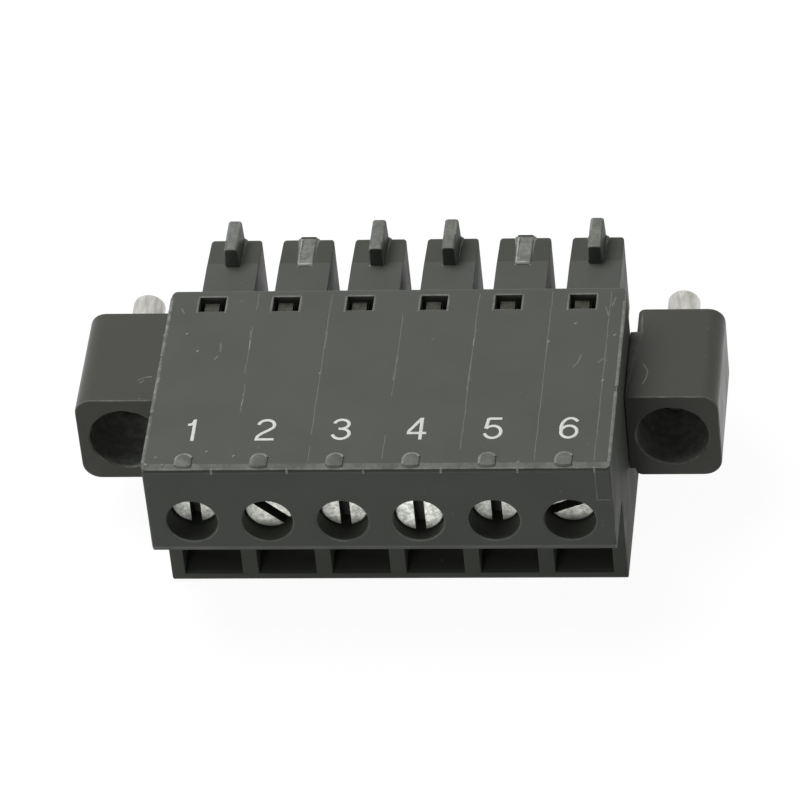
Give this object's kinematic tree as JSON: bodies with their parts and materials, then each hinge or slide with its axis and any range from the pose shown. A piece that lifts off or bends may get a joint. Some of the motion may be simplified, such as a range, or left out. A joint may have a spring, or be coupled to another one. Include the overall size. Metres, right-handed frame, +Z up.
{
  "type": "pluggable terminal block",
  "caption": "Pluggable screw terminal block: dark moulded housing with a comb of contact towers, screws and wire mouths on one side, and a captive-screw flange at each end.",
  "frame": {"origin": "middle of the overall length and width, on the resting face", "axes": "+X along the pole row from pole 1 to pole 6, +Y from the wire side to the mating side, +Z up"},
  "size_m": [0.033, 0.0218, 0.0113],
  "materials": {
    "housing_polyamide": "moulded, matte, dark grey",
    "flange_polyamide": "moulded, satin, dark warm grey",
    "clamp_screw_steel": "zinc-plated, satin",
    "clamp_shoe_steel": "zinc-plated, dull",
    "contact_tin": "copper alloy with a tin plating",
    "flange_screw_steel": "zinc-plated, bright"
  },
  "bodies": {
    "housing": {"housing": "housing_polyamide", "flange_left": "flange_polyamide", "flange_right": "flange_polyamide", "contact_1": "contact_tin", "contact_2": "contact_tin", "contact_3": "contact_tin", "contact_4": "contact_tin", "contact_5": "contact_tin", "contact_6": "contact_tin"},
    "clamp_shoe_1": {"clamp_shoe_1": "clamp_shoe_steel"},
    "clamp_screw_1": {"clamp_screw_1": "clamp_screw_steel"},
    "clamp_shoe_2": {"clamp_shoe_2": "clamp_shoe_steel"},
    "clamp_screw_2": {"clamp_screw_2": "clamp_screw_steel"},
    "clamp_shoe_3": {"clamp_shoe_3": "clamp_shoe_steel"},
    "clamp_screw_3": {"clamp_screw_3": "clamp_screw_steel"},
    "clamp_shoe_4": {"clamp_shoe_4": "clamp_shoe_steel"},
    "clamp_screw_4": {"clamp_screw_4": "clamp_screw_steel"},
    "clamp_shoe_5": {"clamp_shoe_5": "clamp_shoe_steel"},
    "clamp_screw_5": {"clamp_screw_5": "clamp_screw_steel"},
    "clamp_shoe_6": {"clamp_shoe_6": "clamp_shoe_steel"},
    "clamp_screw_6": {"clamp_screw_6": "clamp_screw_steel"},
    "flange_screw_left": {"flange_screw_left": "flange_screw_steel"},
    "flange_screw_right": {"flange_screw_right": "flange_screw_steel"}
  },
  "joints": [
    {"name": "clamp_shoe_1_travel", "type": "slide", "parent": "housing", "child": "clamp_shoe_1", "axis": [0, 1, 0], "range_m": [-0.00125, 0.00055]},
    {"name": "clamp_screw_1_turn", "type": "hinge", "parent": "clamp_shoe_1", "child": "clamp_screw_1", "pos_m": [-0.00953, -0.00945, 0.00748], "axis": [0, 1, 0], "range_deg": [-1125.01, 495.01]},
    {"name": "clamp_shoe_2_travel", "type": "slide", "parent": "housing", "child": "clamp_shoe_2", "axis": [0, 1, 0], "range_m": [-0.00085, 0.00095]},
    {"name": "clamp_screw_2_turn", "type": "hinge", "parent": "clamp_shoe_2", "child": "clamp_screw_2", "pos_m": [-0.00571, -0.00985, 0.00748], "axis": [0, 1, 0], "range_deg": [-765.01, 855.01]},
    {"name": "clamp_shoe_3_travel", "type": "slide", "parent": "housing", "child": "clamp_shoe_3", "axis": [0, 1, 0], "range_m": [-0.00095, 0.00085]},
    {"name": "clamp_screw_3_turn", "type": "hinge", "parent": "clamp_shoe_3", "child": "clamp_screw_3", "pos_m": [-0.00191, -0.00975, 0.00748], "axis": [0, 1, 0], "range_deg": [-855.01, 765.01]},
    {"name": "clamp_shoe_4_travel", "type": "slide", "parent": "housing", "child": "clamp_shoe_4", "axis": [0, 1, 0], "range_m": [-0.00055, 0.00125]},
    {"name": "clamp_screw_4_turn", "type": "hinge", "parent": "clamp_shoe_4", "child": "clamp_screw_4", "pos_m": [0.00191, -0.01015, 0.00748], "axis": [0, 1, 0], "range_deg": [-495.01, 1125.01]},
    {"name": "clamp_shoe_5_travel", "type": "slide", "parent": "housing", "child": "clamp_shoe_5", "axis": [0, 1, 0], "range_m": [-0.0012, 0.0006]},
    {"name": "clamp_screw_5_turn", "type": "hinge", "parent": "clamp_shoe_5", "child": "clamp_screw_5", "pos_m": [0.00571, -0.0095, 0.00748], "axis": [0, 1, 0], "range_deg": [-1080.01, 540.01]},
    {"name": "clamp_shoe_6_travel", "type": "slide", "parent": "housing", "child": "clamp_shoe_6", "axis": [0, 1, 0], "range_m": [-0.0012, 0.0006]},
    {"name": "clamp_screw_6_turn", "type": "hinge", "parent": "clamp_shoe_6", "child": "clamp_screw_6", "pos_m": [0.00953, -0.0095, 0.00748], "axis": [0, 1, 0], "range_deg": [-1080.01, 540.01]},
    {"name": "flange_screw_left_turn", "type": "hinge", "parent": "housing", "child": "flange_screw_left", "pos_m": [-0.01406, 0.0011, 0.00597], "axis": [0, 1, 0], "continuous": true},
    {"name": "flange_screw_right_turn", "type": "hinge", "parent": "housing", "child": "flange_screw_right", "pos_m": [0.01406, 0.0011, 0.00597], "axis": [0, 1, 0], "continuous": true}
  ],
  "couplings": [
    {"joint": "clamp_screw_1_turn", "follows": "clamp_shoe_1_travel", "rad_per_m": 15708},
    {"joint": "clamp_screw_2_turn", "follows": "clamp_shoe_2_travel", "rad_per_m": 15708},
    {"joint": "clamp_screw_3_turn", "follows": "clamp_shoe_3_travel", "rad_per_m": 15708},
    {"joint": "clamp_screw_4_turn", "follows": "clamp_shoe_4_travel", "rad_per_m": 15708},
    {"joint": "clamp_screw_5_turn", "follows": "clamp_shoe_5_travel", "rad_per_m": 15708},
    {"joint": "clamp_screw_6_turn", "follows": "clamp_shoe_6_travel", "rad_per_m": 15708}
  ]
}
